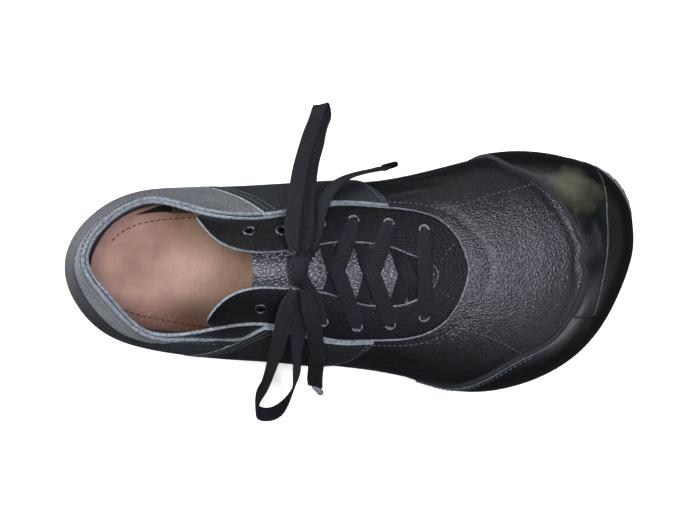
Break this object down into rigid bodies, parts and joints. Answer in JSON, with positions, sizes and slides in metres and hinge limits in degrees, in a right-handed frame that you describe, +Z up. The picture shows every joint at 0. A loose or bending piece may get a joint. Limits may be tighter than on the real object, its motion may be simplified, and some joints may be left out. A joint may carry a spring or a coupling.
{
  "type": "barefoot shoe",
  "caption": "Low black leather barefoot shoe for the right foot, wide at the toes, with a flat zigzag rubber sole and a flat lace tied in a bow.",
  "frame": {"origin": "on the floor under the middle of the shoe's box, measured without its bow", "axes": "+X along the shoe to the toe, +Y to the inner (medial) side, +Z up"},
  "size_m": [0.2816, 0.1577, 0.084],
  "materials": {
    "sole_rubber": "matt dark grey rubber",
    "tan_leather": "unfinished tan leather",
    "black_leather": "black grained leather",
    "smooth_leather": "smooth waxed black leather",
    "eyelet_nickel": "dark nickel plate",
    "lace_cotton": "flat woven cotton",
    "aglet_plastic": "grey shrunk film"
  },
  "bodies": {
    "root": {"outsole": "sole_rubber", "insole": "tan_leather", "upper": "black_leather", "heel_quarter": "black_leather", "saddle_inner": "black_leather", "saddle_outer": "black_leather", "toe_cap": "smooth_leather", "toe_rand": "smooth_leather", "facing": "black_leather", "tongue": "black_leather", "eyelet_inner_5": "eyelet_nickel", "eyelet_outer_5": "eyelet_nickel", "eyelet_inner_6": "eyelet_nickel", "eyelet_outer_6": "eyelet_nickel", "lace_bar": "lace_cotton", "lace_cross_1": "lace_cotton", "lace_cross_2": "lace_cotton", "lace_cross_3": "lace_cotton", "lace_knot": "lace_cotton", "lace_loop_inner": "lace_cotton", "lace_loop_outer": "lace_cotton", "lace_end_inner": "lace_cotton", "lace_end_outer": "lace_cotton", "aglet_inner": "aglet_plastic", "aglet_outer": "aglet_plastic"}
  },
  "joints": []
}
